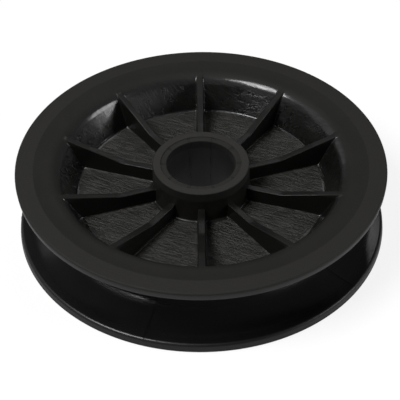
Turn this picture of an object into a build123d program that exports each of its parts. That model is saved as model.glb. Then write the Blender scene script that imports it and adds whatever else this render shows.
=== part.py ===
from build123d import *
import math
import os

# Grooved sheave, moulded in one piece: a rim with a deep round groove, a thin web at mid width,
# a plain-bored hub, and straight ribs on both faces. Sizes are in millimetres and angles in
# degrees. The axis is Z, the lower face lies on z = 0, and one rib of each face points along +Y.

# Rim
rim_diameter = 135.0
rim_width = 28.5
face_width = 6.6  # flat ring on each face, from the rim's edge in to the crease
land_draft = 6.0  # lean of the rim's outer edge towards the groove
rim_corner = 0.8
lip_radius = 1.2  # rounding where the rim's edge turns into the groove

# Rope groove
groove_depth = 18.5
groove_round = 9.0  # radius of the groove's round bottom
flank_root_slope = 20.0  # slope of a groove side where it leaves the round
flank_lip_slope = 1.0  # slope of a groove side at its lip

# Pocket wall, between the crease and the web
groove_wall = 2.5  # wall left between the pocket and the groove's round bottom
pocket_slope = 61.5  # slope of the pocket's straight wall
crease_slope = 9.0  # slope just inside the flat ring
ledge_slope = 2.0  # slope where the shallow hollow turns over into the shoulder
shoulder_radius = 6.0
wall_fillet = 1.2  # between the pocket's wall and the web

# Web and hub
web_thickness = 3.0
hub_diameter = 35.2
hub_draft = 1.0
hub_corner = 0.4
hub_fillet = 0.8  # between the hub and the web
bore_diameter = 25.0
recess_diameter = 29.4
recess_depth = 0.5

# Ribs
rib_count = 10
rib_thickness = 2.3  # at the level of the faces; the draft thickens a rib towards the web
rib_draft = 1.0
rib_low_depth = 7.1  # how far a rib's level inner stretch lies below the face
rib_knee_radius = 30.5  # where the level stretch turns up towards the rim
rib_end_slope = 23.0  # slope of the shoulder where a rib's top edge runs out on it
rib_sink = 1.0  # how far a rib runs into the hub and the pocket's wall

# What follows from the sizes; heights are measured from the wheel's mid plane
rim_radius = rim_diameter / 2
hub_radius = hub_diameter / 2
bore_radius = bore_diameter / 2
recess_radius = recess_diameter / 2
face_z = rim_width / 2
web_z = web_thickness / 2
crease = Vector(rim_radius - face_width, face_z)
groove_centre = Vector(rim_radius - groove_depth + groove_round, 0)

# Sharp corner of the rim, which its rounding trims back to the rim's diameter
lean_sine, lean_cosine = math.sin(math.radians(land_draft)), math.cos(math.radians(land_draft))
rim_edge_radius = rim_radius + rim_corner * ((1 + lean_sine) / lean_cosine - 1)


def normal(slope):
    """Unit vector square to a surface that falls towards the axis at this slope."""
    return Vector(-math.sin(math.radians(slope)), math.cos(math.radians(slope)))


def tangent(slope):
    """Unit vector that runs down such a surface, towards the axis."""
    return Vector(-math.cos(math.radians(slope)), -math.sin(math.radians(slope)))


def hollow_radius():
    """Radius of the shallow hollow that starts at the crease and, through the shoulder, meets the
    straight pocket wall tangentially."""
    wall_reach = groove_round + groove_wall - (crease - groove_centre).dot(normal(pocket_slope))
    crease_turn = normal(pocket_slope).dot(normal(crease_slope))
    ledge_turn = normal(pocket_slope).dot(normal(ledge_slope))
    return (wall_reach - shoulder_radius * (1 - ledge_turn)) / (crease_turn - ledge_turn)


hollow = hollow_radius()
hollow_centre = crease + normal(crease_slope) * hollow
shoulder_centre = hollow_centre - normal(ledge_slope) * (hollow + shoulder_radius)


def shoulder_point(slope):
    """Point of the shoulder where its surface has this slope."""
    return shoulder_centre + normal(slope) * shoulder_radius


def arc(centre, radius, slope_from, slope_to):
    """Arc about a centre, between two slopes of its surface; a hollow has a negative radius."""
    steps = (slope_from, (slope_from + slope_to) / 2, slope_to)
    return ThreePointArc(*[centre + normal(slope) * radius for slope in steps])


def pocket_outline():
    """Pocket side of the section, from the crease down to the web, and its foot on the web."""
    wall_top = shoulder_point(pocket_slope)
    run = (wall_top.Y - web_z) / math.sin(math.radians(pocket_slope))
    wall_foot = wall_top + tangent(pocket_slope) * run
    edges = [
        arc(hollow_centre, -hollow, crease_slope, ledge_slope),
        arc(shoulder_centre, shoulder_radius, ledge_slope, pocket_slope),
        Line(wall_top, wall_foot),
    ]
    return edges, wall_foot


def groove_outline():
    """Groove side of the section, from the mid plane out to the lip, and its point there."""
    root, lip = math.radians(flank_root_slope), math.radians(flank_lip_slope)
    lean = math.tan(math.radians(land_draft))
    flank_root = groove_centre + normal(flank_root_slope) * groove_round
    reach = rim_edge_radius - (face_z - flank_root.Y) * lean - flank_root.X
    rise = math.cos(lip) - math.cos(root)
    flank = reach / (math.sin(root) - math.sin(lip) - rise * lean)
    flank_centre = flank_root - normal(flank_root_slope) * flank
    edges = [
        arc(groove_centre, groove_round, 90, flank_root_slope),
        arc(flank_centre, flank, flank_root_slope, flank_lip_slope),
    ]
    return edges, flank_centre + normal(flank_lip_slope) * flank


def half_section():
    """Upper half of the wheel's section, ribs left out, with its corners rounded."""
    groove_edges, lip = groove_outline()
    pocket_edges, wall_foot = pocket_outline()
    rim_edge = Vector(rim_edge_radius, face_z)
    hub_edge = Vector(hub_radius, face_z)
    hub_foot = Vector(hub_radius + (face_z - web_z) * math.tan(math.radians(hub_draft)), web_z)
    recess_floor = face_z - recess_depth
    hub_edges = Polyline(
        wall_foot,
        hub_foot,
        hub_edge,
        (recess_radius, face_z),
        (recess_radius, recess_floor),
        (bore_radius, recess_floor),
        (bore_radius, 0),
        groove_centre - Vector(groove_round, 0),
    )
    rim_edges = Polyline(lip, rim_edge, crease)
    section = make_face([*groove_edges, rim_edges, *pocket_edges, hub_edges])
    rounded = [
        (lip, lip_radius),
        (rim_edge, rim_corner),
        (wall_foot, wall_fillet),
        (hub_foot, hub_fillet),
        (hub_edge, hub_corner),
    ]
    for point, radius in rounded:
        section = fillet(section.vertices().sort_by_distance(point)[0], radius)
    return section


def rib():
    """One rib of the upper face, along +X: a drafted blade cut to its side profile."""
    end = shoulder_point(rib_end_slope)
    foot = pocket_outline()[1]
    low_z = face_z - rib_low_depth
    start = hub_radius - rib_sink
    side = Polyline(
        (start, 0),
        (start, low_z),
        (rib_knee_radius, low_z),
        end,
        (foot.X + rib_sink, foot.Y),
        (foot.X + rib_sink, 0),
        close=True,
    )
    top = rib_thickness / 2
    base = top + face_z * math.tan(math.radians(rib_draft))
    blade = Polyline((-base, 0), (-top, face_z), (top, face_z), (base, 0), close=True)
    profile = extrude(Plane.XZ * make_face(side), base, both=True)
    length = extrude(Plane.YZ * make_face(blade), rim_radius)
    return profile & length


def wheel():
    """The whole sheave, standing on its lower face."""
    upper = half_section()
    section = upper + mirror(upper, about=Plane.XZ)
    ribs = PolarLocations(0, rib_count, start_angle=90) * rib()
    body = revolve(Plane.XZ * section, Axis.Z) + ribs + mirror(Part() + ribs, about=Plane.XY)
    return Pos(0, 0, face_z) * body.solid()


os.makedirs("parts", exist_ok=True)
export_step(wheel(), "parts/sheave.step")
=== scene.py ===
# %% [markdown]
# # A moulded rope sheave, dressed for a studio scene
# The sheave is one moulding of black nylon: a rim with a deep round groove, a thin web, a plain
# bored hub and ten straight ribs on each face. The packed model gives its outer sizes. This
# notebook gives it soft edges, small fillets, mould seams and the skin of worn plastic.

import math

import bmesh
import bpy
from mathutils import Matrix, Vector


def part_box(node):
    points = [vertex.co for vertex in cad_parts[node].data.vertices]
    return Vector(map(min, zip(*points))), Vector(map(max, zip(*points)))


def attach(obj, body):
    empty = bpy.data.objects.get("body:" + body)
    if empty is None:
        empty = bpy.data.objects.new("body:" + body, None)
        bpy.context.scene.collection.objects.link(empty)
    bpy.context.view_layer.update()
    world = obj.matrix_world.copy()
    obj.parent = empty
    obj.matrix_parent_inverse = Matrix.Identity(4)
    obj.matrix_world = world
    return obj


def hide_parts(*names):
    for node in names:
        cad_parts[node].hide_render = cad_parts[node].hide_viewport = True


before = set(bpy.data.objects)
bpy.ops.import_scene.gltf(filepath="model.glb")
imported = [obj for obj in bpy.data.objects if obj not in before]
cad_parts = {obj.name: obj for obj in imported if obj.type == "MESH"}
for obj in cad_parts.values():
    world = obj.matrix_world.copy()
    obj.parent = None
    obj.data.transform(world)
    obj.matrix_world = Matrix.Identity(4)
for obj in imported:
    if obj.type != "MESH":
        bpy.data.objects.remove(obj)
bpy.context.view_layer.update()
low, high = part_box("sheave")
print("packed sheave, mm:", [round(1000 * side, 2) for side in high - low])

# %% [markdown]
# Lengths are thought of in millimetres here, as on a drawing, and Blender works in metres, so one
# factor turns the first into the second. The outer sizes come from the packed model's box. A mould
# seam stands a little proud of the rim, so the rim itself is smaller by the seam's height, and
# the whole stays inside the box.

# %% Sizes
MM = 0.001
seam_height = 0.09
rim_radius = min(high.x - low.x, high.y - low.y) / 2 / MM - seam_height
face_z = (high.z - low.z) / 2 / MM  # the faces lie this far from the wheel's mid plane
face_width = 6.6  # from the rim's edge to the crease where the hollow starts
land_draft = 6.0  # slopes and drafts are in degrees
rim_corner = 0.8
lip_radius = 1.2
groove_round = 9.0
groove_bottom = 49.0
flank_root_slope, flank_lip_slope = 20.0, 1.0
groove_wall = 2.5  # plastic left between the groove and the pocket
pocket_slope, ledge_slope, crease_slope = 61.5, 2.0, 9.0
shoulder_radius = 6.0
wall_fillet = 1.2
web_z = 1.5
hub_radius = 17.6
hub_draft = 1.0
bore_radius = 12.5
recess_radius, recess_depth = 14.7, 0.5
rib_count = 10
rib_thickness = 2.3
rib_draft = 1.0
rib_low_depth = 7.1
rib_knee_radius = 30.5
rib_end_slope = 23.0
edge_radius, root_radius = 0.32, 0.6  # along a rib's top and along its foot
seam_width = 0.16
crease = Vector((rim_radius - face_width, face_z))
groove_centre = Vector((groove_bottom + groove_round, 0.0))
print("rim radius", round(rim_radius, 3), "mm, half width", round(face_z, 3), "mm")

# %% [markdown]
# The wheel's section is a closed line of short arcs and straight runs. A surface that falls
# towards the axis at some slope has a known unit normal, so an arc is a centre, a radius and two
# slopes. A sharp corner is rounded by an arc that touches both of its sides.

# %% Helpers for the section
def normal(slope):
    return Vector((-math.sin(math.radians(slope)), math.cos(math.radians(slope))))


def arc(centre, radius, first, last, steps):
    turns = [first + (last - first) * step / steps for step in range(steps + 1)]
    return [centre + normal(turn) * radius for turn in turns]


def rounded(before, corner, after, radius, steps):
    into, out = (before - corner).normalized(), (after - corner).normalized()
    half = into.angle(out) / 2
    centre = corner + (into + out).normalized() * (radius / math.sin(half))
    start = (corner + into * (radius / math.tan(half)) - centre).normalized()
    stop = (corner + out * (radius / math.tan(half)) - centre).normalized()
    return [centre + start.slerp(stop, step / steps) * radius for step in range(steps + 1)]


def along(start, stop, steps):
    """Points inside a straight run, its ends left out."""
    return [start.lerp(stop, step / steps) for step in range(1, steps)]


print("a 90 degree arc in 3 steps:", arc(Vector((0, 0)), 1, 0, 90, 3))


# %% [markdown]
# The pocket's side of the rim starts at the crease as a shallow hollow, turns over a tight
# shoulder and falls to the web as a straight wall. One condition fixes the hollow: the three must
# run into each other without a kink, with an even wall left behind the groove. The groove has a
# round bottom and a long hollow flank that ends at the drafted land.

# %% The rim's arcs
wall_reach = groove_round + groove_wall - (crease - groove_centre).dot(normal(pocket_slope))
crease_turn = normal(pocket_slope).dot(normal(crease_slope))
ledge_turn = normal(pocket_slope).dot(normal(ledge_slope))
hollow = (wall_reach - shoulder_radius * (1 - ledge_turn)) / (crease_turn - ledge_turn)
hollow_centre = crease + normal(crease_slope) * hollow
shoulder_centre = hollow_centre - normal(ledge_slope) * (hollow + shoulder_radius)
wall_top = shoulder_centre + normal(pocket_slope) * shoulder_radius
wall_fall = (wall_top.y - web_z) / math.tan(math.radians(pocket_slope))
wall_foot = Vector((wall_top.x - wall_fall, web_z))
rib_end = shoulder_centre + normal(rib_end_slope) * shoulder_radius

lean = math.tan(math.radians(land_draft))
tuck = rim_corner * ((1 + math.sin(math.atan(lean))) / math.cos(math.atan(lean)) - 1)
rim_edge = Vector((rim_radius + tuck, face_z))
flank_root = groove_centre + normal(flank_root_slope) * groove_round
root, lip_turn = math.radians(flank_root_slope), math.radians(flank_lip_slope)
reach = rim_edge.x - (face_z - flank_root.y) * lean - flank_root.x
flank = reach / (math.sin(root) - math.sin(lip_turn) - (math.cos(lip_turn) - math.cos(root)) * lean)
flank_centre = flank_root - normal(flank_root_slope) * flank
lip = flank_centre + normal(flank_lip_slope) * flank
print("hollow radius", round(hollow, 2), "rib ends at radius", round(rib_end.x, 2), "lip", lip)

# %% [markdown]
# The points of the upper half run from the bore out to the bottom of the groove. Rows are close
# together where light turns quickly over a shoulder or a corner, and wide apart on flat runs.
# Each point says which side of the wheel it is on: 1 in the pocket, where the ribs stand, and
# 2 on the rope's side, which carries the mould seams.

# %% The section's points
hub_foot = Vector((hub_radius + (face_z - web_z) * math.tan(math.radians(hub_draft)), web_z))
hub_edge = Vector((hub_radius, face_z))
recess_floor = face_z - recess_depth
bore_mouth = Vector((bore_radius, recess_floor))
recess_foot = Vector((recess_radius, recess_floor))
recess_edge = Vector((recess_radius, face_z))
rib_low = face_z - rib_low_depth
hub_points = [
    *[Vector((bore_radius, height)) for height in (0, 4, 8, 12)],
    *rounded(Vector((bore_radius, 0)), bore_mouth, recess_foot, 0.25, 3),
    *rounded(bore_mouth, recess_foot, recess_edge, 0.15, 2),
    *rounded(recess_foot, recess_edge, hub_edge, 0.15, 3),
    *rounded(recess_edge, hub_edge, hub_foot, 0.4, 5),
]
hub_shares = (0.2, 0.38, 0.49, 0.53, 0.556, 0.58, 0.64, 0.8)  # close where a rib meets the hub
hub_side = [hub_edge.lerp(hub_foot, share) for share in hub_shares]
web_radii = [19.6, 22, 24.5, 27, 29, 30, 30.5, 31, 32, 34, 36.5, 39, 41.5, 43.5]
mid_web = Vector((40, web_z))
wall_end = rounded(mid_web, wall_foot, wall_top, wall_fillet, 5)
pocket_points = [
    *hub_side,
    *rounded(hub_edge, hub_foot, mid_web, 0.8, 5),
    *[Vector((radius, web_z)) for radius in web_radii],
    *wall_end,
    *along(wall_end[-1], wall_top, 4),
    *arc(shoulder_centre, shoulder_radius, pocket_slope, ledge_slope, 18),
    *arc(hollow_centre, -hollow, ledge_slope, crease_slope, 6)[1:],
]
face_points = [
    crease + Vector((0.25, 0.0)),
    crease + Vector((3.0, 0.0)),
    *rounded(crease, rim_edge, lip, rim_corner, 6),
]
rope_points = [
    *along(rim_edge, lip, 4)[1:2],
    *rounded(rim_edge, lip, flank_centre + normal(4.0) * flank, lip_radius, 6),
    *arc(flank_centre, flank, 5.0, flank_root_slope, 7)[1:],
    *arc(groove_centre, groove_round, flank_root_slope, 90, 13)[1:],
]
upper = [(point, 0) for point in hub_points] + [(point, 1) for point in pocket_points]
upper += [(point, 0) for point in face_points] + [(point, 2) for point in rope_points]
lower = [(Vector((point.x, -point.y)), side) for point, side in reversed(upper[1:-1])]
section = upper + lower
print(len(section), "points round the section")

# %% [markdown]
# A point also needs to know which way is out of the plastic, so that a seam can be raised along
# it. The direction square to the line through its two neighbours does. The line is kept as a
# small mesh, and the facts about each point as attributes, which Geometry Nodes can read.

# %% The section as a mesh with attributes
def guide_mesh(name, points, attributes):
    """A line of vertices that carries one value or vector per point and attribute."""
    mesh = bpy.data.meshes.new(name)
    mesh.from_pydata(points, [(step, step + 1) for step in range(len(points) - 1)], [])
    for title, values in attributes.items():
        kind = "FLOAT_VECTOR" if isinstance(values[0], Vector) else "FLOAT"
        layer = mesh.attributes.new(title, kind, "POINT")
        for item, value in zip(layer.data, values):
            if kind == "FLOAT":
                item.value = value
            else:
                item.vector = value
    guide = bpy.data.objects.new(name, mesh)
    bpy.context.scene.collection.objects.link(guide)
    return guide


outward = []
for step in range(len(section)):
    run = section[(step + 1) % len(section)][0] - section[step - 1][0]
    outward.append(Vector((-run.y, 0, run.x)).normalized())
outline = guide_mesh(
    "section_outline",
    [Vector((point.x, 0, point.y)) * MM for point, side in section],
    {
        "pocket_side": [float(side == 1) for point, side in section],
        "rope_side": [float(side == 2) for point, side in section],
        "outward": outward,
    },
)
print(outline.name, "has", len(outline.data.vertices), "points")

# %% [markdown]
# Across one rib the wheel goes through five states: the rib's flat top, its softened edge, its
# drafted wall, the fillet at its root, and the open pocket as far as half way to the next rib.
# Each column of the mesh is one step of that. Its height is the bare wheel's height plus shares of
# the rib's height, of the edge's radius and of the fillet's radius, and its distance from the
# rib's middle is a mix of the same kind. Half way to the next rib a few columns lie close
# together for the seam.

# %% One rib's half section as shares
quarter_turns = [30, 60, 90]
columns = [((1, 0, 0), (0, 0, 0), 0.0), ((1, 0, 0), (1, -1, 0), -2.0)]
for turn in quarter_turns:
    bend = math.radians(turn)
    columns.append(((1, math.cos(bend) - 1, 0), (1, math.sin(bend) - 1, 0), -1.0))
columns.append(((0.5, -0.5, 0.5), (1, 0, 0), 0.0))
columns.append(((0, 0, 1), (1, 0, 0), 1.0))
for turn in quarter_turns:
    bend = math.radians(turn)
    columns.append(((0, 0, 1 - math.sin(bend)), (1, 0, 1 - math.cos(bend)), 1.0))
rib_columns = len(columns)
open_steps = 9
columns += [((0, 0, 0), (1, 0, 1), 1.0)] * (open_steps + 2)
open_share = [0.0] * rib_columns + [step / open_steps for step in range(1, open_steps)] + [1.0] * 3
seam_gap = [0.0] * (rib_columns + open_steps - 1) + [2.0, 1.0, 0.0]
seam_share = [0.0] * (rib_columns + open_steps - 1) + [0.0, 0.45, 1.0]
on_rib = [float(step < rib_columns - 3) for step in range(len(columns))]
across = guide_mesh(
    "rib_half_section",
    [Vector((step, 0, 0)) * MM for step in range(len(columns))],
    {
        "height_shares": [Vector(heights) for heights, offsets, spread in columns],
        "offset_shares": [Vector(offsets) for heights, offsets, spread in columns],
        "spread": [spread for heights, offsets, spread in columns],
        "open_share": open_share,
        "seam_gap": seam_gap,
        "seam_share": seam_share,
        "on_rib": on_rib,
    },
)
print(len(columns), "columns from the middle of a rib to half way to the next")

# %% [markdown]
# Node trees are easier to read as sums than as boxes and wires. The class below wraps one socket.
# Each operator adds a Math node to the socket's tree, and the reflected forms let a plain number
# stand on the left, as in 1 - mask. It serves Geometry Nodes and shaders alike, because both use
# the same Math node.

# %% Sockets that can be added up
class Term:
    def __init__(self, tree, socket):
        self.tree, self.socket = tree, socket

    def math(self, operation, *others):
        values = {0: self, **{place + 1: other for place, other in enumerate(others)}}
        return self.tree.term("ShaderNodeMath", {"operation": operation}, values)

    def reflected(self, operation, other):
        return self.tree.term("ShaderNodeMath", {"operation": operation}, {0: other, 1: self})

    def __add__(self, other):
        return self.math("ADD", other)

    def __radd__(self, other):
        return self.reflected("ADD", other)

    def __sub__(self, other):
        return self.math("SUBTRACT", other)

    def __rsub__(self, other):
        return self.reflected("SUBTRACT", other)

    def __mul__(self, other):
        return self.math("MULTIPLY", other)

    def __rmul__(self, other):
        return self.reflected("MULTIPLY", other)

    def __truediv__(self, other):
        return self.math("DIVIDE", other)

    def __rtruediv__(self, other):
        return self.reflected("DIVIDE", other)

    def __mod__(self, other):
        return self.math("MODULO", other)

    def __gt__(self, other):
        return self.math("GREATER_THAN", other)

    def __lt__(self, other):
        return self.math("LESS_THAN", other)

    def __abs__(self):
        return self.math("ABSOLUTE")

    def least(self, other):
        return self.math("MINIMUM", other)

    def most(self, other):
        return self.math("MAXIMUM", other)

    def ramp(self, start, stop):
        """0 at start, 1 at stop and smooth between; start may lie above stop."""
        if start > stop:
            return 1 - self.ramp(stop, start)
        values = {"Value": self, "From Min": start, "From Max": stop}
        return self.tree.term("ShaderNodeMapRange", {"interpolation_type": "SMOOTHSTEP"}, values)

    def band(self, start, stop, soft):
        """1 between start and stop, 0 outside, with soft sides."""
        return self.ramp(start - soft, start + soft) * self.ramp(stop + soft, stop - soft)


print(len([name for name in vars(Term) if not name.startswith("__")]), "named operations")

# %% [markdown]
# A Term needs something that makes nodes. The Tree does, for any kind of node: it takes the
# node's settings and its sockets' values by name. A value that is a Term becomes a link, and any
# other value is set on the socket.

# %% A tree that makes nodes
class Tree:
    """A node tree. node() adds any node: its type, its settings, then its sockets' values."""

    def __init__(self, nodes):
        self.nodes, self.links = nodes.nodes, nodes.links

    def node(self, kind, settings=None, values=None):
        made = self.nodes.new(kind)
        for name, value in (settings or {}).items():
            setattr(made, name, value)
        for name, value in (values or {}).items():
            if isinstance(value, Term):
                self.links.new(value.socket, made.inputs[name])
            else:
                made.inputs[name].default_value = value
        return made

    def term(self, kind, settings=None, values=None, output=0):
        return Term(self, self.node(kind, settings, values).outputs[output])


print(Tree.__doc__)

# %% [markdown]
# The wheel follows one rule, so Geometry Nodes make it. A flat grid has one column for every step
# round the wheel and one row for every point of the section. Each vertex works out its row and its
# column from its index, looks both up in the two guides, and moves to its place. The tree's inputs
# are the rib's sizes, so a maker can change a thickness without touching the nodes.

# %% Start the tree and name its inputs
wheel_nodes = bpy.data.node_groups.new("Sheave from its section", "GeometryNodeTree")
tree = Tree(wheel_nodes)
wheel_nodes.interface.new_socket("Geometry", in_out="OUTPUT", socket_type="NodeSocketGeometry")
wheel_nodes.interface.new_socket("Section", in_out="INPUT", socket_type="NodeSocketGeometry")
wheel_inputs = {
    "Rib Half Section": ("NodeSocketObject", across),
    "Rib Count": ("NodeSocketInt", rib_count),
    "Face Height": ("NodeSocketFloat", face_z * MM),
    "Rib Thickness": ("NodeSocketFloat", rib_thickness * MM),
    "Rib Draft": ("NodeSocketFloat", math.radians(rib_draft)),
    "Rib Low Height": ("NodeSocketFloat", rib_low * MM),
    "Rib Knee Radius": ("NodeSocketFloat", rib_knee_radius * MM),
    "Rib End Radius": ("NodeSocketFloat", rib_end.x * MM),
    "Rib End Height": ("NodeSocketFloat", rib_end.y * MM),
    "Edge Radius": ("NodeSocketFloat", edge_radius * MM),
    "Root Radius": ("NodeSocketFloat", root_radius * MM),
    "Seam Height": ("NodeSocketFloat", seam_height * MM),
    "Seam Width": ("NodeSocketFloat", seam_width * MM),
    "Material": ("NodeSocketMaterial", None),
}
for title, (kind, value) in wheel_inputs.items():
    wheel_nodes.interface.new_socket(title, in_out="INPUT", socket_type=kind)
group_input = tree.node("NodeGroupInput")


def given(title):
    return Term(tree, group_input.outputs[title])


print(len(wheel_inputs), "named inputs")

# %% [markdown]
# The grid numbers its vertices column by column. A column's place within one pitch folds back at
# half way, because a rib's two sides are alike, and the fold gives its row in the guide.

# %% Rows and columns
across_geometry = tree.term(
    "GeometryNodeObjectInfo", values={"Object": given("Rib Half Section")}, output="Geometry"
)
rows = tree.term("GeometryNodeAttributeDomainSize", values={"Geometry": given("Section")})
steps = tree.term("GeometryNodeAttributeDomainSize", values={"Geometry": across_geometry}) - 1
grid = tree.node(
    "GeometryNodeMeshGrid",
    values={"Vertices X": given("Rib Count") * steps * 2 + 1, "Vertices Y": rows + 1},
)
index = tree.term("GeometryNodeInputIndex")
column = (index / (rows + 1)).math("FLOOR")
row = (index % (rows + 1)) % rows
pitch_column = column % (steps * 2)
pitch_number = (column / (steps * 2)).math("FLOOR")
past_half = pitch_column > steps
fold = steps - abs(pitch_column - steps)
print(len(wheel_nodes.nodes), "nodes so far")

# %% [markdown]
# Each fact is a named attribute on a guide, sampled at the row or at the fold. A vector carries
# three shares at once and is split into them.

# %% What the guides say
def looked_up(geometry, title, kind, place):
    """The named attribute of a guide, at that place on it."""
    named = tree.node("GeometryNodeInputNamedAttribute", {"data_type": kind}, {"Name": title})
    sample = tree.node("GeometryNodeSampleIndex", {"data_type": kind, "domain": "POINT"})
    tree.links.new(geometry.socket, sample.inputs["Geometry"])
    tree.links.new(named.outputs["Attribute"], sample.inputs["Value"])
    tree.links.new(place.socket, sample.inputs["Index"])
    return Term(tree, sample.outputs[0])


def parts_of(vector):
    split = tree.node("ShaderNodeSeparateXYZ", values={"Vector": vector})
    return [Term(tree, output) for output in split.outputs]


radius, _, height = parts_of(looked_up(given("Section"), "position", "FLOAT_VECTOR", row))
out_x, _, out_z = parts_of(looked_up(given("Section"), "outward", "FLOAT_VECTOR", row))
pocket = looked_up(given("Section"), "pocket_side", "FLOAT", row)
rope = looked_up(given("Section"), "rope_side", "FLOAT", row)
height_shares = looked_up(across_geometry, "height_shares", "FLOAT_VECTOR", fold)
offset_shares = looked_up(across_geometry, "offset_shares", "FLOAT_VECTOR", fold)
up_rib, up_edge, up_root = parts_of(height_shares)
off_rib, off_edge, off_root = parts_of(offset_shares)
spread, open_part, gap, seam_part, rib_part = [
    looked_up(across_geometry, title, "FLOAT", fold)
    for title in ("spread", "open_share", "seam_gap", "seam_share", "on_rib")
]
print(len(wheel_nodes.nodes), "nodes with the guides read")

# %% [markdown]
# A rib runs level out of the hub, turns up at its knee and dies out on the shoulder. The smooth
# maximum of the two straight runs softens the knee, and a second one blends the rib's top into
# the hub and the shoulder. The roundings may not be larger than half of what the rib stands
# proud, so they fade out where it does.

# %% The rib's rule and each vertex's place
bare = abs(height)
climb = (given("Rib End Height") - given("Rib Low Height")) / (
    given("Rib End Radius") - given("Rib Knee Radius")
)
slope_top = given("Rib Low Height") + (radius - given("Rib Knee Radius")) * climb
rib_top = slope_top.math("SMOOTH_MAX", given("Rib Low Height"), 0.5 * MM)
before_end = radius < given("Rib End Radius") + 1.0 * MM
proud = (rib_top.math("SMOOTH_MAX", bare, 0.3 * MM) - bare).most(0.0) * pocket * before_end
edge = given("Edge Radius").least(proud / 2)
root = given("Root Radius").least(proud / 2)
raised = bare + proud * up_rib + edge * up_edge + root * up_root
half_thick = given("Rib Thickness") / 2 + (given("Face Height") - raised) * given("Rib Draft").math(
    "TANGENT"
)
offset = half_thick * off_rib + given("Edge Radius") * off_edge + given("Root Radius") * off_root
offset = offset + spread * (0.03 * MM)
half_pitch = math.pi / given("Rib Count")
rib_angle = (offset / radius).math("ARCSINE")
open_angle = half_pitch - (gap * given("Seam Width") / radius).math("ARCSINE")
angle = rib_angle + (open_angle - rib_angle) * open_part
seam = seam_part * rope * given("Seam Height") * ((pitch_number % 2) < 0.5)
azimuth = math.pi / 2 + (pitch_number + past_half) * half_pitch * 2 + angle * (1 - past_half * 2)
reach_out = radius + out_x * seam
place = tree.term(
    "ShaderNodeCombineXYZ",
    values={
        "X": reach_out * azimuth.math("COSINE"),
        "Y": reach_out * azimuth.math("SINE"),
        "Z": given("Face Height") + raised * height.math("SIGN") + out_z * seam,
    },
)
print(len(wheel_nodes.nodes), "nodes with every vertex in its place")

# %% [markdown]
# The finish needs to know where a rib, the rope's side and a seam are, so those facts are stored
# with the vertices. The grid's last column and last row lie on its first ones, and merging them
# closes the wheel into one watertight skin.

# %% Close the wheel and end the tree
def stored(geometry, title, value):
    return tree.term(
        "GeometryNodeStoreNamedAttribute",
        {"data_type": "FLOAT", "domain": "POINT"},
        {"Geometry": geometry, "Name": title, "Value": value},
    )


shape = stored(Term(tree, grid.outputs["Mesh"]), "rib", rib_part * (proud / (0.5 * MM)).least(1.0))
shape = stored(shape, "rope", rope)
shape = stored(shape, "seam", seam_part * rope * ((pitch_number % 2) < 0.5))
shape = tree.term("GeometryNodeSetPosition", values={"Geometry": shape, "Position": place})
shape = tree.term("GeometryNodeMergeByDistance", values={"Geometry": shape, "Distance": 0.001 * MM})
shape = tree.term("GeometryNodeSetShadeSmooth", values={0: shape})
shape = tree.term("GeometryNodeRealizeInstances", values={"Geometry": shape})
shape = tree.term(
    "GeometryNodeSetMaterial", values={"Geometry": shape, "Material": given("Material")}
)
tree.node("NodeGroupOutput", values={"Geometry": shape})
print(len(wheel_nodes.nodes), "nodes in the wheel's tree")

# %% [markdown]
# ## The finish
# Black nylon straight from a mould is nearly all reflection: its own colour is a warm black, and
# what one sees is how sharp or how blurred each zone mirrors the room. The flat rings and the hub
# are dull and fine-grained, the shallow hollow is satin, the pocket's wall and the groove are
# glossy where the mould was polished, and the web shows the strokes of the tool that cut the mould.

# %% Coordinates for the finish
nylon = bpy.data.materials.new("black_moulded_nylon")
nylon.use_nodes = True
nylon.node_tree.nodes.clear()
skin = Tree(nylon.node_tree)
coordinates = skin.term("ShaderNodeTexCoord", output="Object")
split = skin.node("ShaderNodeSeparateXYZ", values={"Vector": coordinates})
along_x, along_y, along_z = [Term(skin, output) / MM for output in split.outputs]
from_axis = (along_x * along_x + along_y * along_y).math("SQRT")
from_mid = abs(along_z - face_z)
bearing = along_y.math("ARCTAN2", along_x)


def attribute(title):
    return skin.term("ShaderNodeAttribute", {"attribute_name": title}, output="Fac")


def noise(vector, scale, detail=2.0, roughness=0.5, distortion=0.0):
    """Soft noise from 0 to 1, scale in waves per millimetre where the vector is in millimetres."""
    values = {"Vector": vector, "Scale": scale, "Detail": detail}
    values.update({"Roughness": roughness, "Distortion": distortion})
    return skin.term("ShaderNodeTexNoise", values=values)


def point(x, y, z):
    return skin.term("ShaderNodeCombineXYZ", values={"X": x, "Y": y, "Z": z})


in_mm = point(along_x, along_y, along_z)
print("coordinates ready")

# %% [markdown]
# Each zone is a mask by distance from the axis and height above the web, except the ribs and the
# groove, which know themselves from the stored attributes.

# %% Zones
rib_mask = attribute("rib")
rope_mask = attribute("rope")
seam_mask = attribute("seam")
faces_mask = from_mid.ramp(face_z - 0.12, face_z - 0.03)
ring_mask = faces_mask * from_axis.ramp(crease.x - 0.1, crease.x + 0.1)
hub_mask = from_mid.ramp(face_z - 0.6, face_z - 0.4) * from_axis.ramp(hub_radius, hub_radius - 0.4)
web_mask = from_mid.ramp(web_z + 0.5, web_z + 0.05) * from_axis.band(19.0, 44.8, 0.4)
wall_mask = from_axis.band(44.8, 52.7, 0.8) * (1 - rope_mask) * (1 - rib_mask)
bore_mask = from_axis.ramp(bore_radius + 0.3, bore_radius + 0.05)
land_mask = from_mid.ramp(10.2, 11.2)
print("zones ready")

# %% [markdown]
# The strokes lie in one direction over the whole wheel, because the mould was ground in one
# setting. Noise squeezed hard along one direction and left long along the other gives them, and
# finer scratches follow the same direction. On the wall, smears and ripples follow the bearing.

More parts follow.
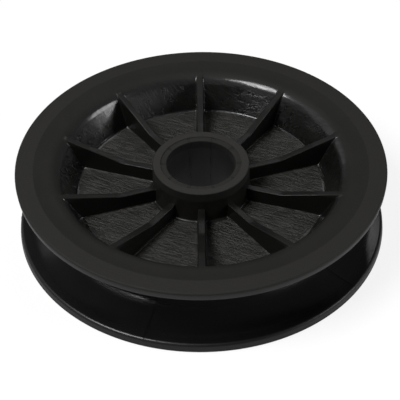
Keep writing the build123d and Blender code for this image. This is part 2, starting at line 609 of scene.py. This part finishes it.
# %% Grain, strokes and streaks
stroke_turn = math.radians(-27)  # from the wheel's X axis
stroke_along = along_x * math.cos(stroke_turn) + along_y * math.sin(stroke_turn)
stroke_across = along_y * math.cos(stroke_turn) - along_x * math.sin(stroke_turn)
strokes = noise(point(stroke_along * 0.14, stroke_across, from_mid * 0.1), 1.1, 4.0, 0.75, 0.15)
scratches = noise(point(stroke_along * 0.5, stroke_across * 2.2, from_mid * 0.3), 1.3, 3.0, 0.7)
grain = noise(in_mm, 5.5, 3.0, 0.7)
cloud = noise(in_mm, 0.09, 3.0, 0.6)
smears = noise(point(bearing * 26, from_mid * 0.28, 0.0), 0.9, 4.0, 0.65, 0.4)
ripple = noise(point(bearing * 9, from_mid * 0.2, from_axis * 0.1), 0.6, 2.0, 0.5)
print("six noises ready")

# %% [markdown]
# Height in millimetres goes through one Bump node, whose distance turns it into metres. The bore
# stays smooth, so no strokes or scratches reach it.

# %% Relief
relief = (grain - 0.5) * (0.010 + 0.030 * ring_mask + 0.022 * hub_mask + 0.018 * rib_mask)
stroke_depth = 0.05 + 0.62 * web_mask + 0.42 * wall_mask + 0.07 * ring_mask
scratch_depth = 0.02 + 0.22 * web_mask + 0.20 * wall_mask + 0.05 * ring_mask
relief = relief + (strokes - 0.5) * stroke_depth * (1 - bore_mask)
relief = relief + (scratches - 0.5) * scratch_depth * (1 - bore_mask)
relief = relief + (ripple - 0.5) * (0.10 * wall_mask)
bump = skin.term(
    "ShaderNodeBump", values={"Strength": 1.0, "Distance": MM, "Height": relief}, output="Normal"
)
print("relief of the finish set")

# %% [markdown]
# Each zone then tints the one before it, to a warm grey where the plastic is rubbed. The ribs, the
# pocket's wall, the bore and the groove are tinted darker as painted shade, for the dark they show
# where they face away from the light or lie deep in the wheel. A coat gives the polished wall and
# the groove their sharper second reflection, and it stops at the seams and at the rim's drafted
# land.

# %% Colour, dullness and gloss
def tint(share, dark, light):
    """One colour at share 0 and another at share 1."""
    mixed = skin.node("ShaderNodeMix", {"data_type": "RGBA"})
    skin.links.new(share.socket, mixed.inputs["Factor"])
    for name, value in (("A", dark), ("B", light)):
        socket = [item for item in mixed.inputs if item.name == name and item.type == "RGBA"][0]
        if isinstance(value, Term):
            skin.links.new(value.socket, socket)
        else:
            socket.default_value = (*value, 1.0)
    return Term(skin, [item for item in mixed.outputs if item.type == "RGBA"][0])


base = tint(cloud.ramp(0.3, 0.7), (0.0062, 0.0060, 0.0052), (0.0080, 0.0077, 0.0067))
# Painted shade: the ribs and the pocket's wall are made darker, for the dark they show where they
# face away from the light.
base = tint((rib_mask * 0.6).most(wall_mask * 0.7), base, (0.0020, 0.0020, 0.0018))
base = tint(ring_mask, base, (0.0128, 0.0123, 0.0105))
base = tint(hub_mask, base, (0.0190, 0.0183, 0.0158))
base = tint(web_mask * strokes.ramp(0.42, 0.66), base, (0.034, 0.033, 0.0295))
# Painted shade: the bore is made darker, for the dark deep inside the hole.
base = tint(bore_mask, base, (0.0035, 0.0034, 0.0030))
# Painted shade: the groove is made darker, for the dark deep in it under the flanges.
base = tint(rope_mask, base, (0.0025, 0.0025, 0.0024))
base = tint(seam_mask.ramp(0.4, 0.8), base, (0.0006, 0.0006, 0.0006))
dull = 0.38 + (cloud - 0.5) * 0.12
dull = dull + ring_mask * 0.06 + hub_mask * 0.12 + web_mask * 0.04 - wall_mask * 0.08
dull = dull + wall_mask * (smears - 0.5) * 0.3 - rope_mask * 0.16
dull = dull + land_mask * 0.3 + bore_mask * 0.25
wall_gloss = wall_mask * (0.45 + 0.55 * strokes.ramp(0.35, 0.6))
rope_gloss = rope_mask * 0.9 * (1 - land_mask) * (1 - seam_mask)
gloss = (wall_gloss + rope_gloss).least(1.0)
plastic = skin.term(
    "ShaderNodeBsdfPrincipled",
    values={
        "Base Color": base,
        "Roughness": dull,
        "Specular IOR Level": 0.28,
        "Coat Weight": gloss,
        "Coat Roughness": 0.17,
        "Normal": bump,
    },
)
skin.node("ShaderNodeOutputMaterial", values={"Surface": plastic})
print(len(nylon.node_tree.nodes), "nodes in the finish")

# %% [markdown]
# The tree is run once, with its inputs set by their identifiers, and its result kept as a plain
# mesh. The guides have done their work then and go. Normals are recalculated so that every face
# points out of the plastic.

# %% Make the sheave
wheel_inputs["Material"] = ("NodeSocketMaterial", nylon)
modifier = outline.modifiers.new("Sheave", "NODES")
modifier.node_group = wheel_nodes
for socket in wheel_nodes.interface.items_tree:
    if socket.in_out == "INPUT" and socket.name in wheel_inputs:
        modifier[socket.identifier] = wheel_inputs[socket.name][1]
evaluated = outline.evaluated_get(bpy.context.evaluated_depsgraph_get())
body_mesh = bpy.data.meshes.new_from_object(evaluated)
bpy.data.objects.remove(outline)
bpy.data.objects.remove(across)
body_mesh.name = "sheave_body"
shell = bmesh.new()
shell.from_mesh(body_mesh)
bmesh.ops.recalc_face_normals(shell, faces=shell.faces)
open_edges = sum(not edge.is_manifold for edge in shell.edges)
volume = shell.calc_volume() / MM**3
shell.to_mesh(body_mesh)
shell.free()
sheave_body = bpy.data.objects.new("sheave_body", body_mesh)
bpy.context.scene.collection.objects.link(sheave_body)
triangles = sum(len(face.vertices) - 2 for face in body_mesh.polygons)
print(triangles, "triangles,", open_edges, "open edges,", round(volume), "cubic mm")

# %% [markdown]
# Large flat faces should look flat right up to a small rounding. Weighted normals do that: each
# vertex takes its direction mostly from the larger faces round it.

# %% Smooth shading, and the piece's place in the frame
weighted = sheave_body.modifiers.new("Weighted normals", "WEIGHTED_NORMAL")
weighted.mode = "FACE_AREA"
weighted.weight = 60
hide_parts("sheave")
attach(sheave_body, "root")
print("one piece,", sheave_body.name)

# %% [markdown]
# ## The studio
# The camera stands well back with a long lens, 40 degrees above the wheel's upper face, so the
# far side of the rim is only a little smaller than the near side. It is first aimed at the
# middle of that face and then turned by a degree or so, as a hand-held camera is.

# %% Camera
camera_distance = 576.99  # in mm, from the middle of the upper face
camera_height = math.radians(40.49)
camera_pitch, camera_yaw, camera_roll = [math.radians(turn) for turn in (-1.358, 0.049, 0.671)]
aim = Vector((0, 0, 2 * face_z)) * MM
away = Vector((0, -math.cos(camera_height), math.sin(camera_height)))
lens_data = bpy.data.cameras.new("studio_camera")
lens_data.lens = 143.21
lens_data.sensor_width = 36
lens_data.clip_start, lens_data.clip_end = 0.05, 20
camera = bpy.data.objects.new("studio_camera", lens_data)
bpy.context.scene.collection.objects.link(camera)
ahead, right = -away, Vector((1, 0, 0))
up = right.cross(ahead)
tip = Matrix.Rotation(camera_pitch, 3, right)
ahead, up = tip @ ahead, tip @ up
swing = Matrix.Rotation(camera_yaw, 3, up)
ahead, right = swing @ ahead, swing @ right
roll = Matrix.Rotation(camera_roll, 3, ahead)
right, up = roll @ right, roll @ up
turned = Matrix((right, up, -ahead)).transposed().to_4x4()
camera.matrix_world = Matrix.Translation(aim + away * camera_distance * MM) @ turned
bpy.context.scene.camera = camera
print("camera at", [round(value, 3) for value in camera.matrix_world.translation])

# %% [markdown]
# The floor is plain and pale. Seen directly or in a reflection most of it is a fixed white, and a
# share of it is lit as any paper is, so that the wheel's soft shadow stays on it.

# %% Floor and surroundings
def seen_directly(light_tree):
    """1 for rays from the camera, a mirror or glass, and 0 for the rays that light things."""
    path = light_tree.node("ShaderNodeLightPath")
    names = ("Is Camera Ray", "Is Glossy Ray", "Is Transmission Ray")
    rays = [Term(light_tree, path.outputs[name]) for name in names]
    return (rays[0] + rays[1] + rays[2]).least(1.0)


paper = bpy.data.materials.new("pale_floor")
paper.use_nodes = True
paper.node_tree.nodes.clear()
sheet = Tree(paper.node_tree)
lit = sheet.term("ShaderNodeBsdfDiffuse", values={"Color": (0.8, 0.8, 0.8, 1)})
white = sheet.term("ShaderNodeEmission", values={"Color": (1, 1, 1, 1), "Strength": 1.06})
mixed = sheet.term("ShaderNodeMixShader", values={0: seen_directly(sheet) * 0.8, 1: lit, 2: white})
sheet.node("ShaderNodeOutputMaterial", values={"Surface": mixed})
floor_mesh = bpy.data.meshes.new("floor")
far = 4  # metres from the wheel to each side of the floor
corners = [(-far, -far, 0), (far, -far, 0), (far, far, 0), (-far, far, 0)]
floor_mesh.from_pydata(corners, [], [(0, 1, 2, 3)])
floor_mesh.materials.append(paper)
floor = bpy.data.objects.new("floor", floor_mesh)
bpy.context.scene.collection.objects.link(floor)

room = bpy.data.worlds.new("studio")
room.use_nodes = True
bpy.context.scene.world = room
room.node_tree.nodes.clear()
air = Tree(room.node_tree)
ambient = air.term("ShaderNodeBackground", values={"Color": (1, 1, 1, 1), "Strength": 0.06})
air.node("ShaderNodeOutputWorld", values={"Surface": ambient})
print("floor and world ready")

# %% [markdown]
# Black plastic shows its lamps as highlights, so their places matter more than their power. The
# window lamp stands high on the left, a little to the front. It is the strongest, lights up the
# far right of the pocket's wall and gives the flat faces their even tone. A low lamp on the right
# catches the wall's left side, and two weak ones behind soften the shadows.

# %% Lamps
def lamp(name, azimuth, elevation, distance, size, power, target=(0, 0, 0.02)):
    """A square area lamp that stands at an azimuth and elevation and faces the wheel."""
    data = bpy.data.lights.new(name, "AREA")
    data.shape, data.size, data.energy = "SQUARE", size, power
    light = bpy.data.objects.new(name, data)
    bpy.context.scene.collection.objects.link(light)
    turn, lift = math.radians(azimuth), math.radians(elevation)
    level = math.cos(lift)
    way = Vector((math.cos(turn) * level, math.sin(turn) * level, math.sin(lift)))
    place = Vector(target) + way * distance
    facing = way.to_track_quat("Z", "Y").to_matrix().to_4x4()
    light.matrix_world = Matrix.Translation(place) @ facing
    print(name, "at", [round(value, 2) for value in place])


lamp("window_lamp", -155, 57, 1.2, 0.50, 14.0)
lamp("right_lamp", -9, 21, 1.2, 0.50, 6.0)
lamp("back_lamp", 80, 50, 1.3, 0.46, 1.5)
lamp("left_lamp", 150, 28, 1.3, 1.1, 1.5)

# %% [markdown]
# Colours are shown as they are, with no film look.

# %% View settings and the end
bpy.context.scene.view_settings.view_transform = "Standard"
bpy.context.view_layer.update()
